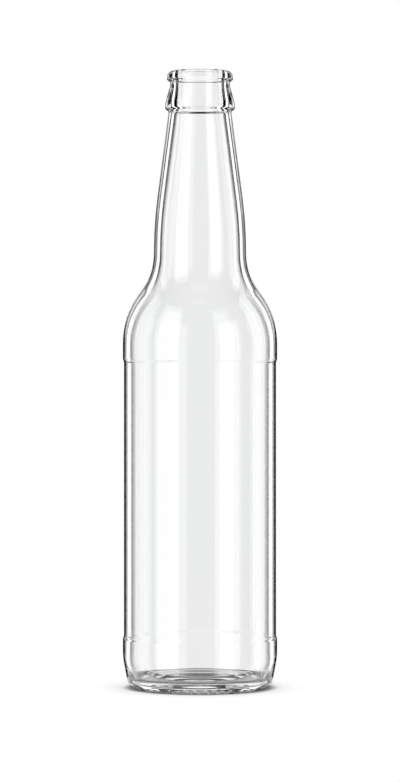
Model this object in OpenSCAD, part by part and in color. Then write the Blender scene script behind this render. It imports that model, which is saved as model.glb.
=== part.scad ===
// Clear glass soda bottle with a crown finish, blown in one piece.
// Its wall is one closed outline turned about Z, and it stands on Z = 0.
// Outline points are [radius, height, fillet]. Lengths are in millimetres.

/* [Body] */
// Height from the surface it stands on to the sealing face
total_h = 246.5; // [246:0.5:260]
// Largest diameter, on the bands above and below the label panel
body_d = 61.7; // [59:0.1:62.2]
// Height where the lower band turns in to the heel
band_low_z = 12.6; // [11:0.1:14]
// Height of the label panel's lower edge
panel_low_z = 21; // [19:0.5:30]
// Height of the label panel's upper edge
panel_high_z = 130; // [100:0.5:133]
// Depth of the label panel below the bands
panel_inset = 0.45; // [0.2:0.05:0.8]

/* [Shoulder and neck] */
// Height where the body turns in to the shoulder
shoulder_z = 148.4; // [148:0.1:148.6]
// Height where the shoulder turns up to the neck
neck_foot_z = 165.7; // [165.4:0.1:165.7]
// Diameter of the neck's straight foot
neck_foot_d = 36.9; // [36.6:0.1:37.2]
// Height where the neck starts to taper
taper_low_z = 184.9; // [184.7:0.1:186]
// Diameter of the neck where it meets the lower bead
neck_top_d = 25.1; // [24.8:0.1:25.4]

/* [Crown finish] */
// Diameter of the sealing bead that a crown cap grips
sealing_bead_d = 26.4; // [26.2:0.1:26.8]
// Height of the sealing bead
sealing_bead_h = 4.4; // [4.2:0.1:4.8]
// Diameter of the waist between the two beads
waist_d = 24; // [23.6:0.1:24.4]
// Height of the straight waist
waist_h = 1.4; // [1.2:0.1:1.8]
// Diameter of the lower bead
lower_bead_d = 27.9; // [27.6:0.1:28.4]
// Height of the lower bead's straight side
lower_bead_h = 2.5; // [2:0.1:3]
// Drop from the sealing face to the root of the lower bead
lower_bead_drop = 16.1; // [15.8:0.1:16.6]
// Diameter of the straight bore at the mouth
bore_d = 17.8; // [17.5:0.1:18.4]
// Drop from the sealing face to where the bore starts to widen
bore_drop = 12.5; // [8:0.5:13]

/* [Wall] */
// Wall thickness of the body
body_wall = 2.7; // [2.5:0.1:3]
// Wall thickness at the foot of the neck
neck_wall = 2.8; // [2.7:0.1:3]

/* [Base] */
// Diameter of the heel at its sharp corner, before it is rounded
heel_d = 57.16; // [57:0.02:57.3]
// Inner diameter of the ring that the bottle stands on
ring_inner_d = 48.4; // [48:0.1:48.8]
// Height of the push-up at the middle of the underside
push_up_h = 4.2; // [3.8:0.1:4.3]
// Diameter across the rounded top of the push-up
push_up_d = 19; // [18.5:0.1:19.5]
// Diameter where the push-up's slope turns down to the ring
push_up_edge_d = 40; // [39.6:0.1:40.6]
// Height where the push-up's slope turns down to the ring
push_up_edge_h = 2.2; // [2.1:0.1:2.4]
// Glass thickness at the middle of the base
base_wall = 4.1; // [3.8:0.1:4.3]
// Diameter where the domed floor turns down to the inner heel
floor_edge_d = 40; // [39.6:0.1:40.6]
// Height where the domed floor turns down to the inner heel
floor_edge_z = 6.2; // [6.1:0.1:6.4]
// Diameter of the inner heel at its sharp corner, before it is rounded
inner_heel_d = 52.4; // [52:0.1:52.8]
// Height of the inner heel, the lowest place inside the bottle
inner_heel_z = 3.6; // [3.2:0.1:4]

/* [Hidden] */

// Degrees that one facet of a rounded corner may turn through
arc_step = 7;
// Segments of a full turn
turn_fn = 128;

body_r = body_d / 2;
panel_r = body_r - panel_inset;
heel_r = heel_d / 2;
ring_inner_r = ring_inner_d / 2;
push_up_r = push_up_d / 2;
push_up_edge_r = push_up_edge_d / 2;
neck_foot_r = neck_foot_d / 2;
neck_top_r = neck_top_d / 2;
waist_r = waist_d / 2;
sealing_bead_r = sealing_bead_d / 2;
lower_bead_r = lower_bead_d / 2;
bore_r = bore_d / 2;
sealing_bead_z = total_h - sealing_bead_h;
lower_bead_z = total_h - lower_bead_drop;

inner_body_r = body_r - body_wall;
inner_panel_r = panel_r - body_wall;
inner_foot_r = neck_foot_r - neck_wall;
inner_heel_r = inner_heel_d / 2;
floor_edge_r = floor_edge_d / 2;
floor_z = push_up_h + base_wall;

// Drop of each inside corner below the outside corner that it follows
inner_taper_drop = 1;
inner_foot_drop = 1.9;
inner_shoulder_drop = 1.3;
// Height where the inside of the wall turns in to the inner heel
inner_wall_low_z = 10;
// Rise of each bead's underside from its root to its corner
underside_rise = 1;
// Height over which each edge of the label panel steps in
step_h = 1.4;
// Fillet on the edges of the label panel
step_fillet = 1.2;

// Underside, from the axis out to the ring it stands on
underside = [
    [0, push_up_h, 0],
    [push_up_r, push_up_h, 80],
    [push_up_edge_r, push_up_edge_h, 3],
    [ring_inner_r, 0, 1]
];

// Outside, from the heel up to the shoulder
outer_body = [
    [heel_r, 0, 3.6],
    [body_r, band_low_z, 25],
    [body_r, panel_low_z - step_h, step_fillet],
    [panel_r, panel_low_z, step_fillet],
    [panel_r, panel_high_z, step_fillet],
    [body_r, panel_high_z + step_h, step_fillet],
    [body_r, shoulder_z, 34]
];

// Outside, from the foot of the neck up to the lower bead
outer_neck = [
    [neck_foot_r, neck_foot_z, 23.5],
    [neck_foot_r, taper_low_z, 175],
    [neck_top_r, lower_bead_z, 1.2]
];

// Both beads and the rounded mouth
crown_finish = [
    [lower_bead_r, lower_bead_z + underside_rise, 1.2],
    [lower_bead_r, lower_bead_z + underside_rise + lower_bead_h, 8],
    [waist_r, sealing_bead_z - waist_h, 3],
    [waist_r, sealing_bead_z, 0.6],
    [sealing_bead_r, sealing_bead_z + underside_rise, 1],
    [sealing_bead_r, total_h, 2.1],
    [bore_r, total_h, 1.3]
];

// Inside, from the bore down to the shoulder
inner_neck = [
    [bore_r, total_h - bore_drop, 60],
    [inner_foot_r, taper_low_z - inner_taper_drop, 160],
    [inner_foot_r, neck_foot_z - inner_foot_drop, 27]
];

// Inside, from the shoulder down to the floor
inner_body = [
    [inner_body_r, shoulder_z - inner_shoulder_drop, 30.5],
    [inner_body_r, panel_high_z + step_h, step_fillet],
    [inner_panel_r, panel_high_z, step_fillet],
    [inner_panel_r, panel_low_z, step_fillet],
    [inner_body_r, panel_low_z - step_h, step_fillet],
    [inner_body_r, inner_wall_low_z, 16],
    [inner_heel_r, inner_heel_z, 1.5],
    [floor_edge_r, floor_edge_z, 5],
    [push_up_r, floor_z, 80],
    [0, floor_z, 0]
];

wall = concat(underside, outer_body, outer_neck, crown_finish, inner_neck, inner_body);

function unit(v) = v / norm(v);

// The turn from one angle to another, between -180 and 180 degrees
function turn(from, to) = let (d = to - from) d > 180 ? d - 360 : d < -180 ? d + 360 : d;

// Points of the arc that rounds corner c, coming from point a and leaving to point b
function corner_arc(a, c, b, fillet) =
    let (
        to_a = unit(a - c),
        to_b = unit(b - c),
        half = acos(to_a * to_b) / 2,
        centre = c + unit(to_a + to_b) * fillet / sin(half),
        start = c + to_a * fillet / tan(half) - centre,
        end = c + to_b * fillet / tan(half) - centre,
        start_angle = atan2(start.y, start.x),
        sweep = turn(start_angle, atan2(end.y, end.x)),
        steps = max(2, ceil(abs(sweep) / arc_step))
    )
    [for (i = [0:steps]) let (angle = start_angle + sweep * i / steps)
        centre + fillet * [cos(angle), sin(angle)]];

function position(p) = [p.x, p.y];

// The outline with every corner rounded by its own fillet
function rounded(points) = [
    for (i = [0:len(points) - 1])
        each points[i].z == 0
            ? [position(points[i])]
            : corner_arc(position(points[i - 1]), position(points[i]), position(points[i + 1]), points[i].z)
];

// The whole bottle: beads, neck, shoulder, panel, heel and base in one wall of glass
module bottle() {
    color([0.86, 0.92, 0.91, 0.45])
    rotate_extrude($fn = turn_fn)
    polygon(rounded(wall));
}

bottle();
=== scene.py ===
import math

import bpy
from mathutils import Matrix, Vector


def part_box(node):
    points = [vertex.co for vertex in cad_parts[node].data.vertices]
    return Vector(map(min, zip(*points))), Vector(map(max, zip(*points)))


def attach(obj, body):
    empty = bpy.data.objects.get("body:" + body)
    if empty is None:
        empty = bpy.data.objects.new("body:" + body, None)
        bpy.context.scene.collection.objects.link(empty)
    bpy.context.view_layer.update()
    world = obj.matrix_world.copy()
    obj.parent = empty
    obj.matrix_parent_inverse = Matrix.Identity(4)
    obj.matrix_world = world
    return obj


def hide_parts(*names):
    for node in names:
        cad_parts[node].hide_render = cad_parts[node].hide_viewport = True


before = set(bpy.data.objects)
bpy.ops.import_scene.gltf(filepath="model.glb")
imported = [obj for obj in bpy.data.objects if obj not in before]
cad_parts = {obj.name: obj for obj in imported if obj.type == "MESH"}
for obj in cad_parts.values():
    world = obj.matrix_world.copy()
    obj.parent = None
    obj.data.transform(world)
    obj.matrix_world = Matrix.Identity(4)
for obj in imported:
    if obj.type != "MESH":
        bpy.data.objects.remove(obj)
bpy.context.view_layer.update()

# A clear glass soda bottle, empty and uncapped, on a pale floor in soft studio light.
# Lengths are in metres, and the bottle's outline is in millimetres, as [radius, height, fillet].

MM = 0.001

# ---- Sizes read from the frame, in millimetres ----
glass_low, glass_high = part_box("bottle")
TOTAL_H = (glass_high.z - glass_low.z) / MM
BODY_R = glass_high.x / MM

# ---- Glass wall ----
BODY_WALL = 2.7
NECK_WALL = 2.8
PANEL_INSET = 0.45
PANEL_LOW_Z = 21.0
PANEL_HIGH_Z = 130.0
STEP_H = 1.4
STEP_FILLET = 1.2
SHOULDER_Z = 148.4
NECK_FOOT_R = 18.45
NECK_FOOT_Z = 165.7
TAPER_LOW_Z = 184.9
NECK_TOP_R = 12.55
# Drop of each inside corner below the outside corner that it follows
INNER_TAPER_DROP = 1.0
INNER_FOOT_DROP = 1.9
INNER_SHOULDER_DROP = 1.3

# ---- Crown finish ----
SEALING_BEAD_R = 13.2
SEALING_BEAD_Z = TOTAL_H - 4.4
WAIST_R = 12.0
WAIST_H = 1.4
LOWER_BEAD_R = 13.95
LOWER_BEAD_H = 2.5
LOWER_BEAD_Z = TOTAL_H - 16.1
UNDERSIDE_RISE = 1.0
BORE_R = 8.9
BORE_LOW_Z = TOTAL_H - 12.5

# ---- Base ----
HEEL_R = 28.58
BAND_LOW_Z = 12.6
RING_INNER_R = 24.2
PUSH_UP_H = 4.2
PUSH_UP_R = 9.5
PUSH_UP_EDGE_R = 20.0
PUSH_UP_EDGE_H = 2.2
BASE_WALL = 4.1
CREST_R = 9.5
FLOOR_EDGE_R = 20.0
FLOOR_EDGE_Z = 6.2
INNER_HEEL_R = 26.2
INNER_HEEL_Z = 3.6
INNER_WALL_LOW_Z = 10

# ---- Mesh ----
TURN_SEGMENTS = 288
ARC_STEP = math.radians(5)
FEWEST_ARC_STEPS = 3
LONGEST_STEP = 6.0
# The outside of the heel carries the knurls and dots, so it is divided this finely, up to this height
FINE_STEP = 0.35
FINE_TOP_Z = 7.0
# The outside of the heel lies beyond a line that starts at the inner heel's radius and leans out 1 in 4
HEEL_LEAN = 4

# ---- Knurls, which stand between grooves cut across the rounded foot of the heel ----
KNURLS = 48
GROOVE_DEPTH = 0.3
GROOVE_DEPTH_VARIES = 0.25
KNURL_HIGH_Z = 1.7
KNURL_FADE = 0.6

# ---- Row of small raised dots on the back half of the heel ----
DOT_STEP = math.radians(11)
DOT_Z = 4.6
DOT_Z_VARIES = 0.3
DOT_R = 0.9
DOT_H = 0.45
DOT_SPAN = math.radians(75)

# ---- Irregularity of the knurls and dots: any angles that don't repeat will do ----
WOBBLE_STEP = 12.9898
WOBBLE_START = 4.1414

# ---- Glass: scales are per metre, heights are in metres ----
WHITE = (1, 1, 1, 1)
PALE_TINT = (0.985, 1.0, 0.992, 1)
TINT_SCALE = 20
# Glass seen almost edge-on is painted darker, a painted shade in place of the dark surroundings seen in
# its edges, from the first of these facing values to the second
EDGE_PAINTED_SHADE = (0.08, 0.085, 0.085, 1)
EDGE_START = 0.66
EDGE_END = 0.92
WAVE_SCALE = 45
WAVE_HEIGHT = 0.000008
RIPPLE_SCALE = 260
RIPPLE_HEIGHT = 0.0000006
SCUFF_LOW_Z = 0.0003
SCUFF_HIGH_Z = 0.0012
SCUFF_ROUGHNESS = 0.35
SCUFF_SCALE = 900
SCUFF_NOISE_RANGE = (0.45, 0.6)
IOR = 1.52

# ---- Camera ----
CAMERA_DISTANCE = 1.28
CAMERA_HEIGHT = 0.1308
CAMERA_LENS = 147.3
CAMERA_SHIFT_Y = -0.039
CAMERA_SENSOR = 36
CAMERA_CLIP = (0.01, 50)

# ---- Stage ----
FLOOR_HALF_WIDTH = 8.0
# Reflections in the glass show the floor only this near to the bottle
FLOOR_REFLECTED_R = 0.045
# Light that falls on the floor, against 1 for the white backdrop
FLOOR_LIGHT = 1.2
# A painted contact shadow: the floor's colour is darkest under the ring that the bottle stands on, and
# fades out over these radii
PAINTED_SHADOW_TONE = 0.35
PAINTED_SHADOW_INNER_R = (0.024, 0.0255)
PAINTED_SHADOW_OUTER_R = (0.0275, 0.032)
# The floor starts to be evenly lit at the first of these distances, and is wholly so from the second
EVEN_FLOOR_START_R = 0.034
EVEN_FLOOR_END_R = 0.055


def body_wall_outline():
    """Corners of the glass wall: up the outside from the middle of the underside, then down the inside."""
    panel_r = BODY_R - PANEL_INSET
    inner_body_r = BODY_R - BODY_WALL
    inner_panel_r = panel_r - BODY_WALL
    inner_foot_r = NECK_FOOT_R - NECK_WALL
    floor_z = PUSH_UP_H + BASE_WALL
    underside = [
        (0, PUSH_UP_H, 0),
        (PUSH_UP_R, PUSH_UP_H, 80),
        (PUSH_UP_EDGE_R, PUSH_UP_EDGE_H, 3),
        (RING_INNER_R, 0, 1),
    ]
    outer_body = [
        (HEEL_R, 0, 3.6),
        (BODY_R, BAND_LOW_Z, 25),
        (BODY_R, PANEL_LOW_Z - STEP_H, STEP_FILLET),
        (panel_r, PANEL_LOW_Z, STEP_FILLET),
        (panel_r, PANEL_HIGH_Z, STEP_FILLET),
        (BODY_R, PANEL_HIGH_Z + STEP_H, STEP_FILLET),
        (BODY_R, SHOULDER_Z, 34),
    ]
    outer_neck = [
        (NECK_FOOT_R, NECK_FOOT_Z, 23.5),
        (NECK_FOOT_R, TAPER_LOW_Z, 175),
        (NECK_TOP_R, LOWER_BEAD_Z, 1.2),
    ]
    crown_finish = [
        (LOWER_BEAD_R, LOWER_BEAD_Z + UNDERSIDE_RISE, 1.2),
        (LOWER_BEAD_R, LOWER_BEAD_Z + UNDERSIDE_RISE + LOWER_BEAD_H, 8),
        (WAIST_R, SEALING_BEAD_Z - WAIST_H, 3),
        (WAIST_R, SEALING_BEAD_Z, 0.6),
        (SEALING_BEAD_R, SEALING_BEAD_Z + UNDERSIDE_RISE, 1),
        (SEALING_BEAD_R, TOTAL_H, 2.1),
        (BORE_R, TOTAL_H, 1.3),
    ]
    inner_neck = [
        (BORE_R, BORE_LOW_Z, 60),
        (inner_foot_r, TAPER_LOW_Z - INNER_TAPER_DROP, 160),
        (inner_foot_r, NECK_FOOT_Z - INNER_FOOT_DROP, 27),
    ]
    inner_body = [
        (inner_body_r, SHOULDER_Z - INNER_SHOULDER_DROP, 30.5),
        (inner_body_r, PANEL_HIGH_Z + STEP_H, STEP_FILLET),
        (inner_panel_r, PANEL_HIGH_Z, STEP_FILLET),
        (inner_panel_r, PANEL_LOW_Z, STEP_FILLET),
        (inner_body_r, PANEL_LOW_Z - STEP_H, STEP_FILLET),
        (inner_body_r, INNER_WALL_LOW_Z, 16),
        (INNER_HEEL_R, INNER_HEEL_Z, 1.5),
        (FLOOR_EDGE_R, FLOOR_EDGE_Z, 5),
        (CREST_R, floor_z, 80),
        (0, floor_z, 0),
    ]
    return underside + outer_body + outer_neck + crown_finish + inner_neck + inner_body


def corner_arc(before, corner, after, fillet):
    """Points of the arc that rounds a corner of the outline."""
    to_before = (before - corner).normalized()
    to_after = (after - corner).normalized()
    half = math.acos(max(-1, min(1, to_before.dot(to_after)))) / 2
    centre = corner + (to_before + to_after).normalized() * fillet / math.sin(half)
    start = corner + to_before * fillet / math.tan(half) - centre
    end = corner + to_after * fillet / math.tan(half) - centre
    start_angle = math.atan2(start.y, start.x)
    sweep = math.atan2(end.y, end.x) - start_angle
    sweep = (sweep + math.pi) % (2 * math.pi) - math.pi
    steps = max(FEWEST_ARC_STEPS, math.ceil(abs(sweep) / ARC_STEP))
    angles = [start_angle + sweep * i / steps for i in range(steps + 1)]
    return [centre + Vector((math.cos(a), math.sin(a))) * fillet for a in angles]


def rounded(outline):
    """The outline with every corner rounded by its own fillet."""
    points = []
    for i, (radius, height, fillet) in enumerate(outline):
        corner = Vector((radius, height))
        if fillet == 0:
            points.append(corner)
        else:
            before = Vector(outline[i - 1][:2])
            after = Vector(outline[i + 1][:2])
            points.extend(corner_arc(before, corner, after, fillet))
    return points


def on_heel(point):
    """Whether a point of the profile is on the outside of the glass, near the foot."""
    return point.y < FINE_TOP_Z and point.x > INNER_HEEL_R + point.y / HEEL_LEAN


def resampled(points):
    """The same line with no long stretch, so that shading stays smooth and the heel can carry detail."""
    fine = [points[0]]
    for start, end in zip(points, points[1:]):
        longest = FINE_STEP if on_heel(start.lerp(end, 0.5)) else LONGEST_STEP
        steps = max(1, math.ceil((end - start).length / longest))
        fine.extend(start.lerp(end, i / steps) for i in range(1, steps + 1))
    return fine


def wobble(i):
    """A fixed number between -1 and 1 for each knurl or dot, so that no two are quite alike."""
    return math.sin(WOBBLE_STEP * i + WOBBLE_START)


def groove(point, angle):
    """Depth of the grooves between knurls. They fade out up the heel."""
    fade = min(1.0, max(0.0, (KNURL_HIGH_Z - point.y) / KNURL_FADE))
    turn = angle * KNURLS / (2 * math.pi)
    depth = GROOVE_DEPTH * (1 + GROOVE_DEPTH_VARIES * wobble(round(turn)))
    return fade * depth * (0.5 + 0.5 * math.cos(2 * math.pi * turn)) ** 2


def dot_bump(point, angle):
    """Height of the raised dots round the back half of the heel."""
    from_back = (angle - math.pi / 2 + math.pi) % (2 * math.pi) - math.pi
    dot = round(from_back / DOT_STEP)
    if abs(dot * DOT_STEP) >= DOT_SPAN:
        return 0.0
    across = (from_back - dot * DOT_STEP) * point.x
    up = point.y - DOT_Z - DOT_Z_VARIES * wobble(dot)
    return DOT_H * math.exp(-(across ** 2 + up ** 2) / DOT_R ** 2 * 2)


def heel_relief(point, angle):
    """Height of the moulded relief above the plain heel."""
    if not on_heel(point):
        return 0.0
    return dot_bump(point, angle) - groove(point, angle)


def lathe(name, profile):
    """A closed mesh of the profile turned about Z. Its first and last points lie on the axis."""
    turn = [2 * math.pi * i / TURN_SEGMENTS for i in range(TURN_SEGMENTS)]
    rings = profile[1:-1]
    verts = []
    for before, point, after in zip(profile, rings, profile[2:]):
        along = (after - before).normalized()
        outward = Vector((along.y, -along.x))
        for a in turn:
            p = point + outward * heel_relief(point, a)
            verts.append((p.x * math.cos(a) * MM, p.x * math.sin(a) * MM, p.y * MM))
    verts.append((0, 0, profile[0].y * MM))
    verts.append((0, 0, profile[-1].y * MM))
    first_pole = len(verts) - 2
    last_pole = len(verts) - 1
    faces = []
    for ring in range(len(rings) - 1):
        low = ring * TURN_SEGMENTS
        high = low + TURN_SEGMENTS
        for i in range(TURN_SEGMENTS):
            j = (i + 1) % TURN_SEGMENTS
            faces.append((low + i, low + j, high + j, high + i))
    last_ring = (len(rings) - 1) * TURN_SEGMENTS
    for i in range(TURN_SEGMENTS):
        j = (i + 1) % TURN_SEGMENTS
        faces.append((first_pole, j, i))
        faces.append((last_pole, last_ring + i, last_ring + j))
    mesh = bpy.data.meshes.new(name)
    mesh.from_pydata(verts, [], faces)
    mesh.validate()
    mesh.shade_smooth()
    piece = bpy.data.objects.new(name, mesh)
    bpy.context.scene.collection.objects.link(piece)
    return piece


class Nodes:
    """Short ways to add shader nodes to one tree."""

    def __init__(self, tree):
        self.tree = tree

    def add(self, kind, **settings):
        node = self.tree.nodes.new(kind)
        for key, value in settings.items():
            setattr(node, key, value)
        return node

    def put(self, socket, value):
        if isinstance(value, bpy.types.NodeSocket):
            self.tree.links.new(value, socket)
        else:
            socket.default_value = value

    def math(self, operation, *values):
        node = self.add("ShaderNodeMath", operation=operation)
        for socket, value in zip(node.inputs, values):
            self.put(socket, value)
        return node.outputs["Value"]

    def dot(self, vector, direction):
        node = self.add("ShaderNodeVectorMath", operation="DOT_PRODUCT")
        self.put(node.inputs[0], vector)
        self.put(node.inputs[1], direction)
        return node.outputs["Value"]

    def ramp(self, value, start, end, low=0.0, high=1.0):
        """A smooth step from low to high as value goes from start to end."""
        node = self.add("ShaderNodeMapRange", interpolation_type="SMOOTHSTEP")
        values = {"Value": value, "From Min": start, "From Max": end, "To Min": low, "To Max": high}
        for name, v in values.items():
            self.put(node.inputs[name], v)
        return node.outputs["Result"]

    def noise(self, place, scale, detail):
        node = self.add("ShaderNodeTexNoise")
        for name, v in (("Vector", place), ("Scale", scale), ("Detail", detail)):
            self.put(node.inputs[name], v)
        return node.outputs["Fac"]

    def mix_colour(self, factor, low, high):
        node = self.add("ShaderNodeMix", data_type="RGBA")
        # A Mix node has sockets for every data type, and these numbers are its colour sockets
        self.put(node.inputs[0], factor)
        self.put(node.inputs[6], low)
        self.put(node.inputs[7], high)
        return node.outputs[2]

    def mix_number(self, factor, low, high):
        node = self.add("ShaderNodeMix", data_type="FLOAT")
        for name, v in (("Factor", factor), ("A", low), ("B", high)):
            self.put(node.inputs[name], v)
        return node.outputs["Result"]

    def has_bounced(self, depth_name):
        """1 for a ray that has bounced in this way at least once, else 0."""
        depth = self.add("ShaderNodeLightPath").outputs[depth_name]
        return self.math("GREATER_THAN", depth, 0.5)

    def mix_shader(self, factor, low, high):
        node = self.add("ShaderNodeMixShader")
        self.put(node.inputs[0], factor)
        self.tree.links.new(low, node.inputs[1])
        self.tree.links.new(high, node.inputs[2])
        return node.outputs[0]

    def bump(self, height, depth, normal=None):
        """Normals of a relief that is depth metres from its lowest to its highest place."""
        node = self.add("ShaderNodeBump")
        self.put(node.inputs["Height"], height)
        self.put(node.inputs["Distance"], depth)
        if normal:
            self.put(node.inputs["Normal"], normal)
        return node.outputs["Normal"]


def glass_material():
    """Clear glass with the faint waves and tint of a moulded bottle, with painted shade where it is seen
    edge-on, scuffed where it stands.
    """
    material = bpy.data.materials.new("clear_glass")
    material.use_nodes = True
    nodes = Nodes(material.node_tree)
    shader = material.node_tree.nodes["Principled BSDF"]
    shader.inputs["IOR"].default_value = IOR
    shader.inputs["Transmission Weight"].default_value = 1
    place = nodes.add("ShaderNodeTexCoord").outputs["Object"]
    height = nodes.add("ShaderNodeSeparateXYZ")
    nodes.put(height.inputs[0], place)
    tint = nodes.mix_colour(nodes.noise(place, TINT_SCALE, 1), PALE_TINT, WHITE)
    facing = nodes.add("ShaderNodeLayerWeight").outputs["Facing"]
    # Painted shade: the colour goes dark where the glass is seen nearly edge-on, in place of the dark
    # surroundings seen in it
    painted_edge_shade = nodes.ramp(facing, EDGE_START, EDGE_END)
    nodes.put(shader.inputs["Base Color"], nodes.mix_colour(painted_edge_shade, tint, EDGE_PAINTED_SHADE))
    near_foot = nodes.ramp(height.outputs["Z"], SCUFF_LOW_Z, SCUFF_HIGH_Z, SCUFF_ROUGHNESS, 0.0)
    scratched = nodes.ramp(nodes.noise(place, SCUFF_SCALE, 3), *SCUFF_NOISE_RANGE)
    nodes.put(shader.inputs["Roughness"], nodes.math("MULTIPLY", near_foot, scratched))
    waves = nodes.bump(nodes.noise(place, WAVE_SCALE, 1), WAVE_HEIGHT)
    ripples = nodes.bump(nodes.noise(place, RIPPLE_SCALE, 2), RIPPLE_HEIGHT, waves)
    nodes.put(shader.inputs["Normal"], ripples)
    return material


def make_bottle():
    bottle = lathe("glass_bottle", resampled(rounded(body_wall_outline())))
    bottle.data.materials.append(glass_material())
    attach(bottle, "root")
    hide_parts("bottle")


# Softboxes: middle azimuth, width, lowest and highest elevation, edge softness and strength.
# Azimuth is in degrees from the camera's side, -Y, and is positive towards +X.
SOFTBOXES = {
    "left_key": (-53, 38, -30, 46, 0.025, 1.8),
    "right_key": (38, 30, -30, 46, 0.025, 1.1),
    "left_side": (-105, 15, -30, 46, 0.025, 1.4),
    "right_side": (104, 20, -30, 46, 0.025, 1.6),
    "back_left": (-144, 18, -30, 46, 0.025, 1.25),
    "back_right": (144, 18, -30, 46, 0.025, 1.25),
    "back_high": (180, 34, 5, 17, 0.02, 1.0),
}

# Directions closer to side-on than twice this see nothing of a softbox
LEAST_AHEAD = 0.001


def azimuth_direction(azimuth):
    a = math.radians(azimuth)
    return Vector((math.sin(a), -math.cos(a), 0))


def softbox(nodes, direction, azimuth, width, low, high, softness, strength):
    """Brightness of one flat upright softbox, seen from the bottle."""
    face = azimuth_direction(azimuth)
    side = azimuth_direction(azimuth + 90)
    ahead = nodes.dot(direction, face)
    ahead_safe = nodes.math("MAXIMUM", ahead, LEAST_AHEAD)
    across = nodes.math("ABSOLUTE", nodes.math("DIVIDE", nodes.dot(direction, side), ahead_safe))
    up = nodes.math("DIVIDE", nodes.dot(direction, Vector((0, 0, 1))), ahead_safe)
    half = math.tan(math.radians(width / 2))
    low_edge = math.tan(math.radians(low))
    high_edge = math.tan(math.radians(high))
    soft = softness / 2
    inside = nodes.ramp(across, half - soft, half + soft, 1.0, 0.0)
    above = nodes.ramp(up, low_edge - soft, low_edge + soft)
    below = nodes.ramp(up, high_edge - soft, high_edge + soft, 1.0, 0.0)
    facing = nodes.math("GREATER_THAN", ahead, 2 * LEAST_AHEAD)
    lit = strength
    for part in (inside, above, below, facing):
        lit = nodes.math("MULTIPLY", part, lit)
    return lit


def make_world():
    """White to the eye and through the glass, and a dark studio with softboxes in its reflections."""
    world = bpy.data.worlds.new("studio")
    bpy.context.scene.world = world
    world.use_nodes = True
    world.cycles.sampling_method = "NONE"
    world.node_tree.nodes.clear()
    nodes = Nodes(world.node_tree)
    direction = nodes.add("ShaderNodeTexCoord").outputs["Generated"]
    reflected = 0.0
    for box in SOFTBOXES.values():
        reflected = nodes.math("ADD", reflected, softbox(nodes, direction, *box))
    diffused = nodes.has_bounced("Diffuse Depth")
    on_glass_only = nodes.math("SUBTRACT", 1.0, diffused)
    in_reflection = nodes.math("MULTIPLY", nodes.has_bounced("Glossy Depth"), on_glass_only)
    white = nodes.mix_number(diffused, 1.0, FLOOR_LIGHT)
    background = nodes.add("ShaderNodeBackground")
    nodes.put(background.inputs["Color"], nodes.mix_number(in_reflection, white, reflected))
    output = nodes.add("ShaderNodeOutputWorld")
    nodes.put(output.inputs["Surface"], background.outputs[0])


def floor_material():
    """White with a painted shadow round the foot, and clear from below and in far reflections."""
    material = bpy.data.materials.new("pale_floor")
    material.use_nodes = True
    material.node_tree.nodes.clear()
    nodes = Nodes(material.node_tree)
    length = nodes.add("ShaderNodeVectorMath", operation="LENGTH")
    nodes.put(length.inputs[0], nodes.add("ShaderNodeTexCoord").outputs["Object"])
    distance = length.outputs["Value"]
    # Painted shadow: the floor's colour is darkened under and round the ring the bottle stands on, in
    # place of a cast contact shadow
    shadow_inside_ring = nodes.ramp(distance, *PAINTED_SHADOW_INNER_R, 1.0, PAINTED_SHADOW_TONE)
    shadow_outside_ring = nodes.ramp(distance, *PAINTED_SHADOW_OUTER_R, PAINTED_SHADOW_TONE, 1.0)
    diffuse = nodes.add("ShaderNodeBsdfDiffuse")
    nodes.put(diffuse.inputs["Color"], nodes.math("MAXIMUM", shadow_inside_ring, shadow_outside_ring))
    evenly_lit = nodes.add("ShaderNodeEmission")
    how_even = nodes.ramp(distance, EVEN_FLOOR_START_R, EVEN_FLOOR_END_R)
    seen = nodes.mix_shader(how_even, diffuse.outputs[0], evenly_lit.outputs[0])
    below = nodes.add("ShaderNodeNewGeometry").outputs["Backfacing"]
    far = nodes.math("GREATER_THAN", distance, FLOOR_REFLECTED_R)
    far_reflection = nodes.math("MULTIPLY", nodes.has_bounced("Glossy Depth"), far)
    unseen = nodes.math("MAXIMUM", below, far_reflection)
    clear = nodes.add("ShaderNodeBsdfTransparent")
    surface = nodes.mix_shader(unseen, seen, clear.outputs[0])
    output = nodes.add("ShaderNodeOutputMaterial")
    nodes.put(output.inputs["Surface"], surface)
    return material


def make_floor():
    mesh = bpy.data.meshes.new("floor")
    painted_edge_shade = FLOOR_HALF_WIDTH
    corners = [(-painted_edge_shade, -painted_edge_shade, 0), (painted_edge_shade, -painted_edge_shade, 0), (painted_edge_shade, painted_edge_shade, 0), (-painted_edge_shade, painted_edge_shade, 0)]
    mesh.from_pydata(corners, [], [(0, 1, 2, 3)])
    mesh.materials.append(floor_material())
    floor = bpy.data.objects.new("floor", mesh)
    bpy.context.scene.collection.objects.link(floor)


def make_camera():
    data = bpy.data.cameras.new("camera")
    data.sensor_width = CAMERA_SENSOR
    data.lens = CAMERA_LENS
    data.shift_y = CAMERA_SHIFT_Y
    data.clip_start, data.clip_end = CAMERA_CLIP
    camera = bpy.data.objects.new("camera", data)
    camera.location = (0, -CAMERA_DISTANCE, CAMERA_HEIGHT)
    camera.rotation_euler = (math.radians(90), 0, 0)
    bpy.context.scene.collection.objects.link(camera)
    bpy.context.scene.camera = camera


def set_light_paths():
    """Lets rays pass all the walls of the bottle, with its reflections inside the glass."""
    scene = bpy.context.scene
    scene.view_settings.view_transform = "Standard"
    scene.cycles.max_bounces = 32
    scene.cycles.glossy_bounces = 24
    scene.cycles.transmission_bounces = 32


make_camera()
make_bottle()
make_floor()
make_world()
set_light_paths()
